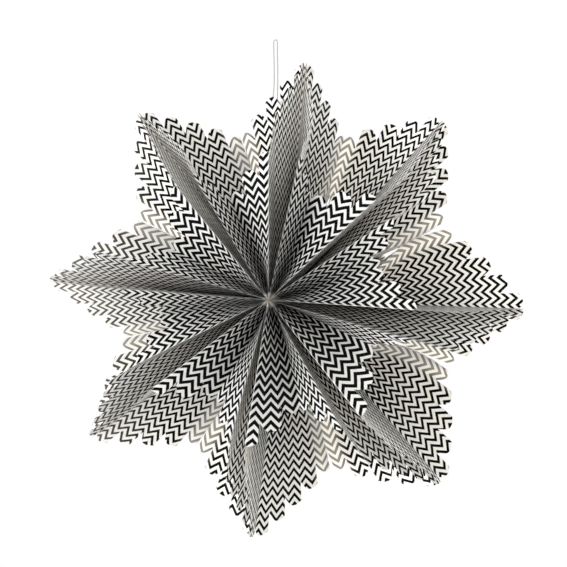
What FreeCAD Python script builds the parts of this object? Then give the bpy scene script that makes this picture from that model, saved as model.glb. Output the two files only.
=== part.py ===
# A hanging paper star: eight gusseted paper bags, glued to each other along
# their centre lines and fanned out into a full turn about one straight axis.
# The axis lies along Y and the front faces -Y. +Z is up, and the origin is the
# middle of the axis. Angles are clockwise from the top, seen from the front.
import FreeCAD
import Part
import os
from math import cos, hypot, pi, radians, sin, sqrt, tan

os.makedirs("parts", exist_ok=True)

# ---- driving dimensions, in mm and degrees ---------------------------------
tip_radius = 300.0          # the axis to the highest tooth of a point
paper_thickness = 0.35      # one wall of printed paper, thickened to model it
hub_thickness = 0.015       # its walls thin towards the axis, where the folds crowd
glue_gap = 0.1              # film of glue between two bags
glue_half_width = 4.0       # half the width of each glued centre strip
hub_radius = 4.0            # the bags' flat bottom ends stop short of the axis

tooth_pitch = 24.4          # width of one scallop, across the sheet
tooth_drop = 18.2           # each scallop ends this much lower than the last
tooth_rise = 11.0           # a scallop's tip above the notch on its upper side
shoulder_rise = 5.0         # its lower shoulder above that same notch
panel_teeth = 7.5           # scallops from the glued line to the side fold
gusset_teeth = 2.5          # scallops from the side fold to the gusset's crease

# one value for each point and for the bag that follows it clockwise
point_angles = (5.3, 41.4, 92.0, 138.7, 187.2, 234.6, 274.7, 321.9)
front_leads = (7.0, 15.0, 13.4, 11.5, 8.0, 9.5, 10.5, 6.8)      # front side folds, past the point
front_lags = (-6.0, -2.0, -3.0, -2.0, 1.6, 0.3, 1.0, 5.0)       # and short of the next point
front_creases = (0.25, 0.44, 0.25, 0.38, 0.40, 0.60, 0.33, 0.27)  # gusset crease between the two
back_leads = (12.8, 21.8, 19.6, 27.4, 25.4, 22.6, 23.4, 21.0)   # back flaps, past the point
back_lags = (22.7, 28.2, 26.5, 20.5, 21.4, 16.9, 23.2, 21.8)    # and short of the next point
back_fold_share = 0.80      # near the axis the back folds lean this much of their flaps' lean
back_crease = 0.5
flare_start = 125.0         # radius at which the back panels begin to spread into flaps
flare_end = 185.0           # and from which they are fully spread

lean_teeth = 4.8            # a leaning panel turns upright this far out
first_lean = 0.7            # its lean next to the glued line, as a share of the mean
steepest = 0.97             # the most a step of the sheet can lean, as a sine
mesh_radii = (110.0, 165.0, 235.0)   # rings between which the paper is facetted
shortest_facet = 14.0       # a ring nearer than this to the paper's cut edge is left out

thread_diameter = 1.2
thread_glued = 16.0         # length of each strand glued behind the scallop
thread_seat = 0.1           # film of glue under it
loop_tooth = 2.5            # middle of the scallop that carries the loop, on the last bag
loop_height = 74.0          # from that scallop's tip to the top of the loop
loop_width = 8.8            # between the middles of the two strands

panel_width = panel_teeth * tooth_pitch
gusset_width = gusset_teeth * tooth_pitch
sheet_teeth = panel_teeth + gusset_teeth


def notch_radius(tooth):
    """Radius of the notch on the upper side of a scallop, 0 at the glued line."""
    return tip_radius - tooth_rise - tooth * tooth_drop


def crease_columns():
    """Distances across a quarter sheet, from the glued line to the gusset crease."""
    halves = [0.5 * step * tooth_pitch for step in range(1, int(2 * sheet_teeth) + 1)]
    return [0.0, glue_half_width] + halves


columns = crease_columns()


def smooth_share(value):
    share = min(max(value, 0.0), 1.0)
    return share * share * (3.0 - 2.0 * share)


def panel_place(across, radius, fold, flap):
    """Distance round the star and distance forward, for a column of a panel."""
    lean_width = lean_teeth * tooth_pitch - glue_half_width
    spread = smooth_share((radius - flare_start) / (flare_end - flare_start))
    whole = radians(fold + (flap - fold) * spread)
    reach = min(max((across - glue_half_width) / lean_width, 0.0), 1.0)
    least = max(abs(whole), 0.001)
    steep = (steepest * lean_width / radius / least - first_lean) / (2 - 2 * first_lean)
    curved = min(max(steep, 0.0), reach)
    flat = (reach - curved) * lean_width
    turned = curved * (first_lean + curved * (1 - first_lean))
    forward = across - reach * lean_width + flat * sqrt(1 - steepest ** 2)
    for place in (0.2113, 0.7887):
        sine = radius * whole * (first_lean + curved * (2 - 2 * first_lean) * place) / lean_width
        forward += curved * lean_width / 2 * sqrt(max(1 - sine ** 2, 0.0))
    return radius * whole * turned + flat * steepest, forward


def panel_section(radius, fold, flap):
    """Columns of one half panel at a radius, from the glued line to the side fold."""
    return [panel_place(across, radius, fold, flap) for across in columns if across <= panel_width]


def gusset_section(fold, crease):
    """Columns of one gusset leaf, from the side fold to the inner crease."""
    count = len(columns) - 1 - columns.index(panel_width)
    shares = [step / count for step in range(1, count + 1)]
    return [tuple(a + (b - a) * share for a, b in zip(fold, crease)) for share in shares]


def half_section(radius, sector, first, second, crease_share):
    """Half of a bag's section at a radius, from its first glued line to its second."""
    edge = glue_gap / 2
    width = radius * radians(sector) - 2 * edge
    left = panel_section(radius, *first)
    right = [(width - s, f) for s, f in panel_section(radius, *second)]
    (s1, f1), (s2, f2) = left[-1], right[-1]
    gap = s2 - s1
    off_centre = (crease_share - 0.5) * gap / gusset_width
    depth = sqrt(max(gusset_width ** 2 - gap ** 2 / 4, 0.0) * (1 - off_centre ** 2))
    crease = (s1 + crease_share * gap, f1 + crease_share * (f2 - f1) - depth)
    leaf_left = gusset_section((s1, f1), crease)
    leaf_right = gusset_section((s2, f2), crease)[:-1]
    half = left + leaf_left + leaf_right[::-1] + right[::-1]
    return [(edge + s, f) for s, f in half]


def offset_loop(loop, distance):
    """The section's closed outline moved inwards, mitred at its folds."""
    moved = []
    for here in range(len(loop)):
        before, point, after = loop[here - 1], loop[here], loop[(here + 1) % len(loop)]
        a = hypot(point[0] - before[0], point[1] - before[1])
        b = hypot(after[0] - point[0], after[1] - point[1])
        n1 = ((point[1] - before[1]) / a, -(point[0] - before[0]) / a)
        n2 = ((after[1] - point[1]) / b, -(after[0] - point[0]) / b)
        miter = max(1 + n1[0] * n2[0] + n1[1] * n2[1], 0.25)
        moved.append((point[0] + distance * (n1[0] + n2[0]) / miter,
                      point[1] + distance * (n1[1] + n2[1]) / miter))
    return moved


class Bag:
    """One folded paper tube with a gusset in its front and one in its back."""

    def __init__(self, index):
        following = point_angles[(index + 1) % len(point_angles)] % 360.0
        self.start = point_angles[index]
        self.sector = (following - self.start) % 360.0
        leans = (front_leads[index], front_lags[index])
        first, second = [(lean, lean) for lean in leans]
        self.front = (first, second, front_creases[index])
        leans = (back_lags[index], back_leads[index])
        first, second = [(back_fold_share * lean, lean) for lean in leans]
        self.back = (first, second, back_crease)
        self.loops = {}
        self.points = []
        self.numbers = {}
        self.facets = []

    def section(self, radius):
        """Outer and inner outline at a radius, as closed loops of the same length."""
        if radius not in self.loops:
            front = half_section(radius, self.sector, *self.front)
            width = radius * radians(self.sector)
            back = [(width - s, -f) for s, f in half_section(radius, self.sector, *self.back)]
            outer = front + back[1:-1]
            share = min((radius - hub_radius) / (mesh_radii[0] - hub_radius), 1.0)
            wall = hub_thickness + (paper_thickness - hub_thickness) * share
            self.loops[radius] = (outer, offset_loop(outer, wall))
        return self.loops[radius]

    def place(self, layer, column, radius):
        """A point on the outer (0) or inner (1) face, in the star's own frame."""
        round_way, forward = self.section(radius)[layer][column]
        angle = radians(self.start) + round_way / radius
        return FreeCAD.Vector(radius * sin(angle), -forward, radius * cos(angle))

    def number(self, layer, column, radius):
        key = (layer, column, round(radius, 6))
        if key not in self.numbers:
            self.numbers[key] = len(self.points)
            self.points.append(self.place(layer, column, radius))
        return self.numbers[key]

    def add(self, a, b, c):
        if len({a, b, c}) == 3:
            self.facets.append((a, b, c))

    def wall(self, left, right):
        """Facets of both faces between two columns, each a list of (column, radii)."""
        (col_a, radii_a), (col_b, radii_b) = left, right
        a = b = 0
        while a < len(radii_a) - 1 or b < len(radii_b) - 1:
            next_a = radii_a[a + 1] if a < len(radii_a) - 1 else 1e9
            next_b = radii_b[b + 1] if b < len(radii_b) - 1 else 1e9
            if next_a <= next_b:
                corners = ((col_a, radii_a[a]), (col_b, radii_b[b]), (col_a, next_a))
                a += 1
            else:
                corners = ((col_a, radii_a[a]), (col_b, radii_b[b]), (col_b, next_b))
                b += 1
            outer = [self.number(0, *corner) for corner in corners]
            inner = [self.number(1, *corner) for corner in corners]
            self.add(outer[0], outer[2], outer[1])
            self.add(inner[0], inner[1], inner[2])

    def rim(self, first, second):
        """The cut edge of the paper between two (column, radius) places."""
        a, b = self.number(0, *first), self.number(0, *second)
        c, d = self.number(1, *first), self.number(1, *second)
        self.add(a, c, b)
        self.add(b, c, d)

    def solid(self):
        quarter = len(columns) - 1
        count = 4 * quarter
        for strip in range(count):
            turn, place = divmod(strip, quarter)
            climbing = turn % 2 == 0
            low = place if climbing else quarter - 1 - place
            tops = strip_tops(low)
            near, far = (strip, (strip + 1) % count) if climbing else ((strip + 1) % count, strip)
            near_radii = ring_radii(tops[0], None)
            far_radii = ring_radii(tops[1], tops[2])
            left, right = (near, near_radii), (far, far_radii)
            if not climbing:
                left, right = right, left
            self.wall(left, right)
            self.rim((right[0], hub_radius), (left[0], hub_radius))
            self.rim((left[0], left[1][-1]), (right[0], right[1][-1]))
            if tops[2] is not None:
                ends = ((far, tops[1]), (far, tops[2]))
                self.rim(*(ends if climbing else ends[::-1]))
        shape = Part.Shape()
        shape.makeShapeFromMesh((self.points, self.facets), 0.001)
        return Part.makeSolid(Part.Shell(shape.Faces))


def strip_tops(low):
    """Radii at the top of a strip: its near side, its far side, and the next notch."""
    near, far = columns[low] / tooth_pitch, columns[low + 1] / tooth_pitch
    tooth = int(near + 1e-9)
    notch = notch_radius(tooth)
    rises = []
    for place in (near - tooth, far - tooth):
        if place <= 0.5:
            rises.append(tooth_rise * sin(pi * place))
        else:
            rises.append(tooth_rise - (tooth_rise - shoulder_rise) * (2 * place - 1) ** 2)
    next_notch = None
    if far - tooth > 1 - 1e-9 and low + 2 < len(columns):
        next_notch = notch_radius(tooth + 1)
    return notch + rises[0], notch + rises[1], next_notch


def ring_radii(top, notch):
    limit = top if notch is None else notch
    radii = [hub_radius] + [ring for ring in mesh_radii if ring < limit - shortest_facet]
    return radii + ([top] if notch is None else [notch, top])


def loop_route(bag):
    """Corners of the thread's route: up one strand, across the top and down the other."""
    column = 2 * (len(columns) - 1) + columns.index(loop_tooth * tooth_pitch)
    low = notch_radius(int(loop_tooth)) + tooth_rise - thread_glued
    paper = bag.place(0, column, low)
    outward = (paper - bag.place(1, column, low)).normalize()
    across = (bag.place(0, column + 1, low) - bag.place(0, column - 1, low)).normalize()
    start = paper + outward * (thread_diameter / 2 + thread_seat)
    half = across * (loop_width / 2)
    rise = FreeCAD.Vector(0, 0, thread_glued + loop_height)
    return [start - half, start - half + rise, start + half + rise, start + half]


def rounded_wire(route):
    """Straight runs joined by arcs that touch them, as a wire."""
    edges = []
    begin = route[0]
    for before, corner, after in zip(route, route[1:], route[2:]):
        inwards, outwards = corner - before, after - corner
        half_turn = inwards.getAngle(outwards) / 2
        cut = 0.45 * min(inwards.Length, outwards.Length)
        print("arc radius", round(cut / tan(half_turn), 3))
        first = corner - inwards.normalize() * cut
        last = corner + outwards.normalize() * cut
        towards = (first + last) / 2 - corner
        middle = corner + towards.normalize() * (cut / tan(half_turn) * (1 / cos(half_turn) - 1))
        edges += [Part.makeLine(begin, first), Part.Arc(first, middle, last).toShape()]
        begin = last
    return Part.Wire(edges + [Part.makeLine(begin, route[-1])])


def thread_loop(route):
    path = rounded_wire(route)
    disc = Part.Wire(Part.makeCircle(thread_diameter / 2, route[0], route[1] - route[0]))
    return path.makePipeShell([disc], True, False)


bags = [Bag(index) for index in range(len(point_angles))]
nodes = {"bag_%d" % (index + 1): bag.solid() for index, bag in enumerate(bags)}
nodes["hanging_loop"] = thread_loop(loop_route(bags[-1]))

for name, solid in nodes.items():
    print(name, solid.isValid(), solid.isClosed(), round(solid.Volume), len(solid.Faces))
    solid.exportStep("parts/%s.step" % name)
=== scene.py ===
import bpy
from math import cos, pi, radians, sin, sqrt
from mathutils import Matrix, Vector


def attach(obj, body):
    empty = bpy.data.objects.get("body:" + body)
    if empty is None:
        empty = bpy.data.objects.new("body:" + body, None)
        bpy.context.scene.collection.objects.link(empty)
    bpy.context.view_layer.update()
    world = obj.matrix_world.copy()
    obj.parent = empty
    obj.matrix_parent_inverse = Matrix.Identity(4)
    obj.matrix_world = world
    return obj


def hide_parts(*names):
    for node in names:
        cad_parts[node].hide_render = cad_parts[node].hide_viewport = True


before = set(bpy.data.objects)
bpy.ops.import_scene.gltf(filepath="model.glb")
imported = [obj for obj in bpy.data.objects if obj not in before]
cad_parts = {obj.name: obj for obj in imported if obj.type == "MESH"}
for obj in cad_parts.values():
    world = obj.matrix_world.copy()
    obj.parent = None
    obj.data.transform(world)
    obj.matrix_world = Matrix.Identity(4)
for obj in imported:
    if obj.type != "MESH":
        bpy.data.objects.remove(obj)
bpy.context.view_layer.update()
scene = bpy.context.scene
scene.view_settings.view_transform = "Standard"

# ---- the eight paper bags ---------------------------------------------------
# Thin white paper, printed with small black chevrons and folded into gusseted
# bags. They are glued to each other along their centre lines, cut to scallops
# and fanned out in a full turn about the star's axis, which lies along Y.
sizes = {
    "Tip Radius": 0.300,
    "Hub Radius": 0.001,
    "Tooth Pitch": 0.0244,      # a scallop's width along the cut edge
    "Tooth Drop": 0.0182,       # and how much nearer the axis the next one starts
    "Tooth Rise": 0.011,
    "Shoulder Rise": 0.005,
    "Flare Start": 0.110,       # between these two radii the back panels spread into flaps
    "Flare End": 0.168,
}
panel_teeth = 7.5               # scallops on a half panel, from the glued line to the side fold
gusset_teeth = 2.5              # and on a gusset leaf, from the side fold to the crease
glue_half_width = 0.004
glue_film = 0.0001
lean_teeth = 4.8                # a panel leans over more and more across this many scallops
first_lean = 0.7
steepest = 0.97

# for each point and the bag that follows it clockwise, in degrees: the point itself, the
# side folds past it and short of the next one, and the share of the gap before the crease
point_angles = (5.3, 41.4, 92.0, 138.7, 187.2, 234.6, 274.7, 321.9)
front_leads = (7.0, 15.0, 13.4, 11.5, 8.0, 9.5, 10.5, 6.8)
front_lags = (-6.0, -2.0, -3.0, -2.0, 1.6, 0.3, 1.0, 5.0)
front_creases = (0.25, 0.44, 0.25, 0.38, 0.40, 0.60, 0.33, 0.27)
front_fold_share = 1.0
back_leads = (12.8, 21.8, 19.6, 27.4, 25.4, 22.6, 23.4, 21.0)
back_lags = (22.7, 28.2, 26.5, 20.5, 21.4, 16.9, 23.2, 21.8)
back_crease = 0.5
back_fold_share = 0.80          # of their full angle, as far out as the flare's start


def add_node(tree, kind, settings, sockets):
    """A node with its settings made first, and then its sockets given values or links."""
    node = tree.nodes.new(kind)
    for name, value in settings.items():
        setattr(node, name, value)
    for name, value in sockets.items():
        source = getattr(value, "socket", value)
        if isinstance(source, bpy.types.NodeSocket):
            tree.links.new(source, node.inputs[name])
        else:
            node.inputs[name].default_value = source
    return node


class Number:
    """A value in a node tree, so that a formula made of nodes reads as a formula."""

    def __init__(self, tree, socket):
        self.tree = tree
        self.socket = socket

    def apply(self, operation, *others):
        values = dict(enumerate((self,) + others))
        node = add_node(self.tree, "ShaderNodeMath", {"operation": operation}, values)
        return Number(self.tree, node.outputs[0])

    def __add__(self, other):
        return self.apply("ADD", other)

    def __sub__(self, other):
        return self.apply("SUBTRACT", other)

    def __mul__(self, other):
        return self.apply("MULTIPLY", other)

    def __truediv__(self, other):
        return self.apply("DIVIDE", other)

    def __rsub__(self, other):
        return self.apply("MULTIPLY", -1.0).apply("ADD", other)

    def __rtruediv__(self, other):
        return self.apply("POWER", -1.0) * other

    __radd__ = __add__
    __rmul__ = __mul__

    def least(self, other):
        return self.apply("MINIMUM", other)

    def most(self, other):
        return self.apply("MAXIMUM", other)

    def smooth_step(self, low, high):
        share = ((self - low) / (high - low)).most(0.0).least(1.0)
        return share * share * (3.0 - share * 2.0)

    def choose(self, when_one, when_zero):
        """self is 0 or 1."""
        return self * when_one + (1.0 - self) * when_zero


def cosine_from_sine(sine):
    return (1.0 - sine * sine).most(0.0).apply("SQRT")


def panel_place(given, across, radius, fold, flap):
    """Distance round the star and distance forward, for a column of a panel."""
    smallest_swing = 0.001
    gauss_places = (0.2113, 0.7887)     # where the curved part's slope is read, to sum it up
    lean_width = given["Tooth Pitch"] * lean_teeth - glue_half_width
    swing = fold + (flap - fold) * radius.smooth_step(given["Flare Start"], given["Flare End"])
    reach = ((across - glue_half_width) / lean_width).most(0.0).least(1.0)
    full_lean = steepest * lean_width / radius / swing.apply("ABSOLUTE").most(smallest_swing)
    steep = (full_lean - first_lean) / (2.0 - 2.0 * first_lean)
    curved = steep.most(0.0).least(reach)
    flat = (reach - curved) * lean_width
    turned = curved * (first_lean + curved * (1.0 - first_lean))
    round_way = radius * swing * turned + flat * steepest
    forward = across - reach * lean_width + flat * sqrt(1.0 - steepest * steepest)
    for place in gauss_places:
        lean = first_lean + curved * (2.0 - 2.0 * first_lean) * place
        cosine = cosine_from_sine(radius * swing * lean / lean_width)
        forward = forward + curved * cosine * (lean_width / len(gauss_places))
    return round_way, forward


def new_tree(name, floats):
    """An empty tree with named inputs, and those inputs as numbers."""
    tree = bpy.data.node_groups.new(name, "GeometryNodeTree")
    for label in floats:
        tree.interface.new_socket(label, in_out="INPUT", socket_type="NodeSocketFloat")
    tree.interface.new_socket("Sheet", in_out="OUTPUT", socket_type="NodeSocketGeometry")
    entry = add_node(tree, "NodeGroupInput", {}, {})
    return tree, {label: Number(tree, entry.outputs[label]) for label in floats}


def quarter_tree():
    """A quarter of a bag: one half panel and one gusset leaf, with its scalloped edge."""
    columns_per_tooth = 12
    all_teeth = panel_teeth + gusset_teeth
    columns = int(all_teeth * columns_per_tooth) + 1
    rows = 44
    tree, given = new_tree("Quarter sheet", (
        *sizes, "Glued Line", "Sector", "Turn", "Forward",
        "Fold", "Flap", "Other Fold", "Other Flap", "Crease"))
    grid = add_node(tree, "GeometryNodeMeshGrid", {}, {
        "Size X": 1.0, "Size Y": 1.0, "Vertices X": columns, "Vertices Y": rows})
    index = Number(tree, add_node(tree, "GeometryNodeInputIndex", {}, {}).outputs[0])
    column = (index / rows + 0.5 / rows).apply("FLOOR")
    row = index - column * rows

    # the scalloped edge: each rises from its notch, rounds over and drops to the next
    pitch, rise = given["Tooth Pitch"], given["Tooth Rise"]
    step = column / columns_per_tooth
    tooth = (step + 0.5 / columns_per_tooth).apply("FLOOR")
    part = (step - tooth) * (columns_per_tooth / (columns_per_tooth - 1.0))
    at_crease = step.apply("GREATER_THAN", all_teeth - 0.5 / columns_per_tooth)
    across = at_crease.choose(pitch * all_teeth, (tooth + part.least(1.0)) * pitch)
    rising = (part * pi).apply("SINE") * rise
    rounded = part * 2.0 - 1.0
    falling = rise - rounded * rounded * (rise - given["Shoulder Rise"])
    scallop = part.apply("GREATER_THAN", 0.5).choose(falling, rising)
    edge = given["Tip Radius"] - rise - tooth * given["Tooth Drop"] + scallop
    hub = given["Hub Radius"]
    radius = hub + (edge - hub) * row / (rows - 1.0)

    # the half panel, then the gusset leaf to the crease between the two side folds
    panel_width = pitch * panel_teeth
    gusset_width = pitch * gusset_teeth
    own_round, own_forward = panel_place(
        given, across.least(panel_width), radius, given["Fold"], given["Flap"])
    fold_round, fold_forward = panel_place(
        given, panel_width, radius, given["Fold"], given["Flap"])
    other_round, other_forward = panel_place(
        given, panel_width, radius, given["Other Fold"], given["Other Flap"])
    gap = radius * given["Sector"] - glue_film - other_round - fold_round
    crease = given["Crease"]
    off_centre = (crease - 0.5) * gap / gusset_width
    sunk = (gusset_width * gusset_width - gap * gap / 4.0).most(0.0)
    sunk = sunk * (1.0 - off_centre * off_centre)
    crease_forward = fold_forward + crease * (other_forward - fold_forward) - sunk.apply("SQRT")
    share = (across - panel_width).most(0.0) / gusset_width
    round_way = own_round + share * gap * crease
    forward = own_forward + share * (crease_forward - fold_forward)

    angle = given["Glued Line"] + given["Turn"] * (round_way + glue_film / 2.0) / radius
    place = add_node(tree, "ShaderNodeCombineXYZ", {}, {
        0: radius * angle.apply("SINE"), 1: forward * given["Forward"] * -1.0,
        2: radius * angle.apply("COSINE")})
    layout = add_node(tree, "ShaderNodeCombineXYZ", {}, {0: across, 1: radius})
    at_points = add_node(tree, "GeometryNodeFieldOnDomain", {
        "data_type": "FLOAT_VECTOR", "domain": "POINT"}, {0: layout.outputs[0]})
    keep = add_node(tree, "GeometryNodeStoreNamedAttribute", {
        "data_type": "FLOAT2", "domain": "CORNER"}, {
        "Name": "print", "Geometry": grid.outputs["Mesh"], "Value": at_points.outputs[0]})
    move = add_node(tree, "GeometryNodeSetPosition", {}, {
        "Geometry": keep.outputs[0], "Position": place.outputs[0]})
    inwards = (given["Turn"] * given["Forward"]).apply("LESS_THAN", 0.0)
    flip = add_node(tree, "GeometryNodeFlipFaces", {}, {0: move.outputs[0], 1: inwards})
    add_node(tree, "NodeGroupOutput", {}, {"Sheet": flip.outputs[0]})
    return tree


def bag_tree(paper):
    """Four quarter sheets round one bag, joined at its glued lines and creases."""
    weld_distance = 0.00002
    tree, given = new_tree("Paper bag", (
        *sizes, "Start", "End",
        "Front Lead", "Front Lag", "Front Crease", "Front Fold Share",
        "Back Lead", "Back Lag", "Back Crease", "Back Fold Share"))
    quarter = quarter_tree()
    join = add_node(tree, "GeometryNodeJoinGeometry", {}, {})
    for turn in (1.0, -1.0):
        for forward in (1.0, -1.0):
            side = "Front " if forward > 0 else "Back "
            near, far = ("Lead", "Lag") if turn > 0 else ("Lag", "Lead")
            own, other = given[side + near], given[side + far]
            share, crease = given[side + "Fold Share"], given[side + "Crease"]
            sheet = add_node(tree, "GeometryNodeGroup", {"node_tree": quarter}, {
                **{label: given[label] for label in sizes},
                "Glued Line": given["Start" if turn > 0 else "End"],
                "Sector": given["End"] - given["Start"],
                "Turn": turn, "Forward": forward, "Fold": own * share, "Flap": own,
                "Other Fold": other * share, "Other Flap": other,
                "Crease": crease if turn > 0 else 1.0 - crease})
            tree.links.new(sheet.outputs[0], join.inputs[0])
    weld = add_node(tree, "GeometryNodeMergeByDistance", {}, {
        "Geometry": join.outputs[0], "Distance": weld_distance})
    whole = add_node(tree, "GeometryNodeRealizeInstances", {}, {"Geometry": weld.outputs[0]})
    dress = add_node(tree, "GeometryNodeSetMaterial", {}, {
        "Geometry": whole.outputs[0], "Material": paper})
    add_node(tree, "NodeGroupOutput", {}, {"Sheet": dress.outputs[0]})
    return tree


def empty_nodes(owner):
    """The node tree of a new material or world, with nothing in it."""
    owner.use_nodes = True
    owner.node_tree.nodes.clear()
    return owner.node_tree


def blend_colours(tree, share, first, second):
    """The first colour where share is 0, and the second where it is 1."""
    node = add_node(tree, "ShaderNodeMix", {"data_type": "RGBA"}, {0: share, 6: first, 7: second})
    return node.outputs[2]


def printed_paper():
    """White paper with black chevrons, darkened with painted shade near the hub and glued lines
    and lightened with painted glare, backlight and fold highlights. Inside a bag the print shows
    through more weakly.
    """
    chevron_width = 0.01807
    chevron_height = 0.01074
    chevron_rise = 0.0101
    edge_creep = 0.06                   # of a stripe, as the ink follows the fibres
    black_share_with_hub_shade = 0.66           # how much is black near the axis: the print and painted shade
    black_share_rim = 0.47
    # painted shade: more black beside the glued lines near the hub
    painted_black_at_seam = 0.22
    # painted glare: less black and paler ink on the window's side
    less_black_by_painted_glare = 0.06
    # from inside, paler ink: partly print seen through, partly painted backlight
    paler_inside_and_backlit = 0.3
    paler_by_painted_glare = 0.16
    # a painted highlight along the side folds, made by leaving the ink off
    strongest_fold_highlight = 0.85
    fold_highlight_weaker_outwards = 0.7
    fold_highlight_jitter = 0.001
    edge_fray = 0.003
    shaded_at_seam = 0.75               # of the light that comes through the sheet, taken away as painted shade
    clearer_when_single = 0.25
    fibre_scale = 900.0
    ripple_scale = 28.0
    fibre_depth = 0.00002
    ripple_depth = 0.0009

    # where each change along the sheet begins and where it is complete
    # painted shade near the hub, fading outwards
    hub_shade_fades = (0.03, 0.20)
    # painted shade beside the glued lines near the hub, across and along
    seam_shade_across = (0.01, 0.08)
    seam_shade_along = (0.10, 0.24)
    # painted glare, growing towards the window's side
    window_glare_span = (0.15, 0.30)
    single_sheet = (0.090, 0.108)       # from here across no neighbour lies close behind
    # the painted highlight along the side folds, and how it fades outwards
    fold_highlight_width = (0.0003, 0.0014)
    fold_highlight_fades = (0.05, 0.20)
    raw_edge = (0.007, 0.011)

    material = bpy.data.materials.new("printed paper")
    tree = empty_nodes(material)
    layout = add_node(tree, "ShaderNodeUVMap", {"uv_map": "print"}, {})
    parts = add_node(tree, "ShaderNodeSeparateXYZ", {}, {0: layout.outputs[0]})
    across, radius = Number(tree, parts.outputs[0]), Number(tree, parts.outputs[1])
    position = add_node(tree, "ShaderNodeTexCoord", {}, {}).outputs["Object"]
    x = Number(tree, add_node(tree, "ShaderNodeSeparateXYZ", {}, {0: position}).outputs[0])
    fibres = add_node(tree, "ShaderNodeTexNoise", {}, {
        "Vector": position, "Scale": fibre_scale, "Detail": 3.0, "Roughness": 0.6})
    ripples = add_node(tree, "ShaderNodeTexNoise", {}, {
        "Vector": position, "Scale": ripple_scale, "Detail": 1.0})
    fibre, ripple = Number(tree, fibres.outputs["Fac"]), Number(tree, ripples.outputs["Fac"])

    # the print: zigzag stripes, with an edge that creeps a little along the fibres, more black as
    # painted shade near the hub and the glued lines, less as painted glare by the window
    # painted shade beside the glued lines near the hub, deep in the valleys
    painted_seam_shade = (1.0 - across.smooth_step(*seam_shade_across)) * (1.0 - radius.smooth_step(*seam_shade_along))
    # painted glare: the print lighter towards the window's side
    painted_window_glare = (0.0 - x).smooth_step(*window_glare_span)
    # painted shade near the hub: more black there, down to the print's own share at the rim
    hub_shade_lifted = radius.smooth_step(*hub_shade_fades) * (black_share_with_hub_shade - black_share_rim)
    black_share = black_share_with_hub_shade - hub_shade_lifted
    black_share = black_share + painted_seam_shade * painted_black_at_seam - painted_window_glare * less_black_by_painted_glare
    fold = ((across / chevron_width).apply("FRACT") - 0.5).apply("ABSOLUTE")
    height = (radius - fold * (2.0 * chevron_rise)) / chevron_height
    height = height + (fibre - 0.5) * edge_creep
    ink = height.apply("FRACT").apply("LESS_THAN", black_share)

    # it is weaker from inside where the sheet stands alone, partly as print seen through the
    # paper and partly as painted backlight, and on the window's side as painted glare
    geometry = add_node(tree, "ShaderNodeNewGeometry", {}, {})
    inside = Number(tree, geometry.outputs["Backfacing"])
    single = across.smooth_step(*single_sheet)
    ink = ink * (1.0 - inside * single * paler_inside_and_backlit) * (1.0 - painted_window_glare * paler_by_painted_glare)

    # the ink is left off along the side folds as a painted highlight, and stops short of the raw
    # edge at the hub
    side_fold = panel_teeth * sizes["Tooth Pitch"]
    beside_fold = (across - side_fold).apply("ABSOLUTE") + (fibre - 0.5) * fold_highlight_jitter
    # painted highlight: the ink left off beside each side fold
    painted_fold_highlight = 1.0 - beside_fold.smooth_step(*fold_highlight_width)
    painted_fold_highlight = painted_fold_highlight * (1.0 - radius.smooth_step(*fold_highlight_fades) * fold_highlight_weaker_outwards)
    bare = 1.0 - (radius + (fibre - 0.5) * edge_fray).smooth_step(*raw_edge)
    ink = ink * (1.0 - painted_fold_highlight * strongest_fold_highlight) * (1.0 - bare)

    # the paper's own finish and then the ink's, each with light coming through from behind
    relief = ripple * ripple_depth + fibre * fibre_depth
    bump = add_node(tree, "ShaderNodeBump", {}, {
        "Strength": 0.6, "Distance": 1.0, "Height": relief})
    # painted shade: less light comes through beside the glued lines near the hub
    shaded = 1.0 - painted_seam_shade * shaded_at_seam
    clearer = inside * single * clearer_when_single
    finishes = []
    for pale, deep, through, share, shine in (
            ((0.91, 0.91, 0.905, 1), (0.86, 0.86, 0.85, 1), (0.97, 0.93, 0.85, 1), 0.32, 0.25),
            ((0.006, 0.006, 0.006, 1), (0.001, 0.001, 0.001, 1), (0.01, 0.008, 0.006, 1),
             0.10, 0.05)):
        face = add_node(tree, "ShaderNodeBsdfPrincipled", {}, {
            "Base Color": blend_colours(tree, fibre, deep, pale), "Roughness": 0.75,
            "Specular IOR Level": shine, "Normal": bump.outputs[0]})
        glow = add_node(tree, "ShaderNodeBsdfTranslucent", {}, {"Color": through})
        finishes.append(add_node(tree, "ShaderNodeMixShader", {}, {
            "Fac": share * shaded + clearer, 1: face.outputs[0], 2: glow.outputs[0]}))
    white, black = finishes
    printed = add_node(tree, "ShaderNodeMixShader", {}, {
        "Fac": ink, 1: white.outputs[0], 2: black.outputs[0]})
    add_node(tree, "ShaderNodeOutputMaterial", {}, {"Surface": printed.outputs[0]})
    return material


def build_bag(number, tree, values):
    """Run the tree once with a bag's own values, and keep the result as a plain mesh."""
    sharp_fold = radians(35.0)
    carrier = bpy.data.objects.new("carrier", bpy.data.meshes.new("carrier"))
    scene.collection.objects.link(carrier)
    modifier = carrier.modifiers.new("bag", "NODES")
    modifier.node_group = tree
    sockets = {item.name: item.identifier
               for item in tree.interface.items_tree if item.in_out == "INPUT"}
    for label, value in values.items():
        modifier[sockets[label]] = value
    depsgraph = bpy.context.evaluated_depsgraph_get()
    mesh = bpy.data.meshes.new_from_object(carrier.evaluated_get(depsgraph))
    bpy.data.objects.remove(carrier)
    mesh.name = "paper_bag_%d" % number
    mesh.set_sharp_from_angle(angle=sharp_fold)
    bag = bpy.data.objects.new(mesh.name, mesh)
    scene.collection.objects.link(bag)
    return bag


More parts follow.
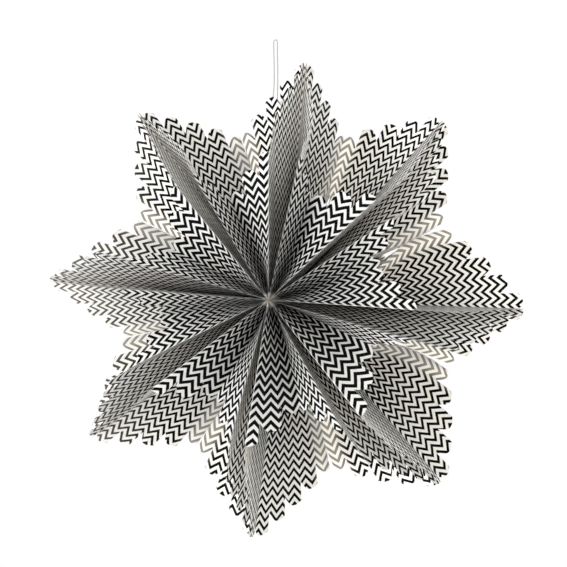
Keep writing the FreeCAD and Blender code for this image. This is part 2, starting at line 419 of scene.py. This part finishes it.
bag_shape = bag_tree(printed_paper())
for place, start in enumerate(point_angles):
    end = point_angles[place + 1] if place + 1 < len(point_angles) else point_angles[0] + 360.0
    bag = build_bag(place + 1, bag_shape, {
        **sizes, "Start": radians(start), "End": radians(end),
        "Front Lead": radians(front_leads[place]), "Front Lag": radians(front_lags[place]),
        "Front Crease": front_creases[place], "Front Fold Share": front_fold_share,
        "Back Lead": radians(back_leads[place]), "Back Lag": radians(back_lags[place]),
        "Back Crease": back_crease, "Back Fold Share": back_fold_share})
    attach(bag, "root")
    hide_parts("bag_%d" % (place + 1))

# ---- the hanging loop -------------------------------------------------------
# A thin, smooth thread of twisted strands. It is one length, bent into a narrow
# loop, with both of its ends glued behind a scallop beside the top point.
thread_diameter = 0.0012
thread_route = (
    (-0.01349, 0.04194, 0.24727), (-0.01200, 0.04194, 0.27080),
    (-0.01285, 0.04194, 0.33070), (-0.01290, 0.04194, 0.33717),
    (-0.01810, 0.04600, 0.33680), (-0.01805, 0.04620, 0.33030),
    (-0.01680, 0.04650, 0.27080), (-0.02082, 0.04677, 0.24674))


def thread_material():
    """Fine twisted strands: slanting grooves along the thread, painted darker as shade, and a
    slightly fuzzy tone.
    """
    strand_pitch = 0.0011
    strand_slant = 0.8
    groove_depth = 0.00008
    strand_share = 0.6          # of the tone, and the rest is fuzz
    fuzz_scale = 2500.0
    # the grooves' darker grey is painted shade
    groove_shade_grey = (0.26, 0.26, 0.255, 1)
    strand_grey = (0.42, 0.42, 0.41, 1)
    material = bpy.data.materials.new("thread")
    tree = empty_nodes(material)
    position = add_node(tree, "ShaderNodeTexCoord", {}, {}).outputs["Object"]
    parts = add_node(tree, "ShaderNodeSeparateXYZ", {}, {0: position})
    x, z = Number(tree, parts.outputs[0]), Number(tree, parts.outputs[2])
    turns = (z + x * strand_slant) * (2.0 * pi / strand_pitch)
    strand = turns.apply("SINE") * 0.5 + 0.5
    fuzz = add_node(tree, "ShaderNodeTexNoise", {}, {
        "Vector": position, "Scale": fuzz_scale, "Detail": 2.0})
    tone = strand * strand_share + Number(tree, fuzz.outputs["Fac"]) * (1.0 - strand_share)
    bump = add_node(tree, "ShaderNodeBump", {}, {
        "Strength": 0.5, "Distance": 1.0, "Height": tone * groove_depth})
    face = add_node(tree, "ShaderNodeBsdfPrincipled", {}, {
        "Base Color": blend_colours(tree, tone, groove_shade_grey, strand_grey),
        "Roughness": 0.55, "Normal": bump.outputs[0]})
    add_node(tree, "ShaderNodeOutputMaterial", {}, {"Surface": face.outputs[0]})
    return material


line = bpy.data.curves.new("thread_loop", "CURVE")
line.dimensions = "3D"
line.bevel_depth = thread_diameter / 2
line.bevel_resolution = 4
spline = line.splines.new("NURBS")
spline.points.add(len(thread_route) - 1)
for point, corner in zip(spline.points, thread_route):
    point.co = (*corner, 1.0)
spline.order_u = 3
spline.use_endpoint_u = True
spline.resolution_u = 24
line.materials.append(thread_material())
thread = bpy.data.objects.new("thread_loop", line)
scene.collection.objects.link(thread)
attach(thread, "root")
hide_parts("hanging_loop")

# ---- the studio -------------------------------------------------------------
# A white room: even white light from all round, a window in front on the left, a
# warmer lamp behind on the right, a pale floor well below the star, and the camera
# in front, a little to the right of the star's axis.
floor_depth = 0.9
floor_radius = 2.0
floor_sides = 64
room_light = 0.85
backdrop_light = 1.0            # what the camera and reflections see of the room
camera_distance = 2.2
camera_turn = radians(5.8)
camera_rise = radians(-0.2)
camera_aim = Vector((-0.0006, 0.0, 0.0215))
seen_width = 0.7167
sensor_width = 36.0


def floor_material():
    """Pale and matt. Half of what the camera sees of it is plain white."""
    white_share = 0.5
    material = bpy.data.materials.new("studio floor")
    tree = empty_nodes(material)
    position = add_node(tree, "ShaderNodeTexCoord", {}, {}).outputs["Object"]
    grain = add_node(tree, "ShaderNodeTexNoise", {}, {
        "Vector": position, "Scale": 60.0, "Detail": 2.0})
    colour = blend_colours(
        tree, grain.outputs["Fac"], (0.86, 0.86, 0.86, 1), (0.90, 0.90, 0.90, 1))
    matt = add_node(tree, "ShaderNodeBsdfDiffuse", {}, {"Color": colour})
    white = add_node(tree, "ShaderNodeEmission", {}, {
        "Color": (1, 1, 1, 1), "Strength": backdrop_light})
    seen = Number(tree, add_node(tree, "ShaderNodeLightPath", {}, {}).outputs["Is Camera Ray"])
    mix = add_node(tree, "ShaderNodeMixShader", {}, {
        "Fac": seen * white_share, 1: matt.outputs[0], 2: white.outputs[0]})
    add_node(tree, "ShaderNodeOutputMaterial", {}, {"Surface": mix.outputs[0]})
    return material


ring = [(floor_radius * cos(2.0 * pi * k / floor_sides),
         floor_radius * sin(2.0 * pi * k / floor_sides), -floor_depth)
        for k in range(floor_sides)]
floor_mesh = bpy.data.meshes.new("studio_floor")
floor_mesh.from_pydata(ring, [], [tuple(range(floor_sides))])
floor_mesh.materials.append(floor_material())
floor = bpy.data.objects.new("studio_floor", floor_mesh)
scene.collection.objects.link(floor)

world = bpy.data.worlds.new("studio")
scene.world = world
tree = empty_nodes(world)
soft = add_node(tree, "ShaderNodeBackground", {}, {
    "Color": (1, 1, 1, 1), "Strength": room_light})
plain = add_node(tree, "ShaderNodeBackground", {}, {
    "Color": (1, 1, 1, 1), "Strength": backdrop_light})
path = add_node(tree, "ShaderNodeLightPath", {}, {})
camera_ray, glossy_ray, through_ray = (Number(tree, path.outputs[kind]) for kind in (
    "Is Camera Ray", "Is Glossy Ray", "Is Transmission Ray"))
mix = add_node(tree, "ShaderNodeMixShader", {}, {
    "Fac": (camera_ray + glossy_ray + through_ray).least(1.0),
    1: soft.outputs[0], 2: plain.outputs[0]})
add_node(tree, "ShaderNodeOutputWorld", {}, {"Surface": mix.outputs[0]})

# each lamp's strength, the angle that it fills, its colour and which way its light travels
for name, energy, softness, colour, travel in (
        ("window", 2.2, 30.0, (1.0, 1.0, 1.0), (0.58, 0.80, 0.0)),
        ("lamp_behind", 2.3, 40.0, (1.0, 0.95, 0.86), (-0.45, -0.88, -0.1))):
    sun = bpy.data.lights.new(name, "SUN")
    sun.energy = energy
    sun.angle = radians(softness)
    sun.color = colour
    lamp = bpy.data.objects.new(name, sun)
    lamp.rotation_euler = Vector(travel).to_track_quat("-Z", "Y").to_euler()
    scene.collection.objects.link(lamp)

camera = bpy.data.cameras.new("camera")
camera.lens = sensor_width * camera_distance / seen_width
camera_object = bpy.data.objects.new("camera", camera)
towards_camera = Vector((sin(camera_turn) * cos(camera_rise),
                         -cos(camera_turn) * cos(camera_rise), sin(camera_rise)))
camera_object.location = camera_distance * towards_camera
sight = camera_aim - camera_object.location
camera_object.rotation_euler = sight.to_track_quat("-Z", "Y").to_euler()
scene.collection.objects.link(camera_object)
scene.camera = camera_object
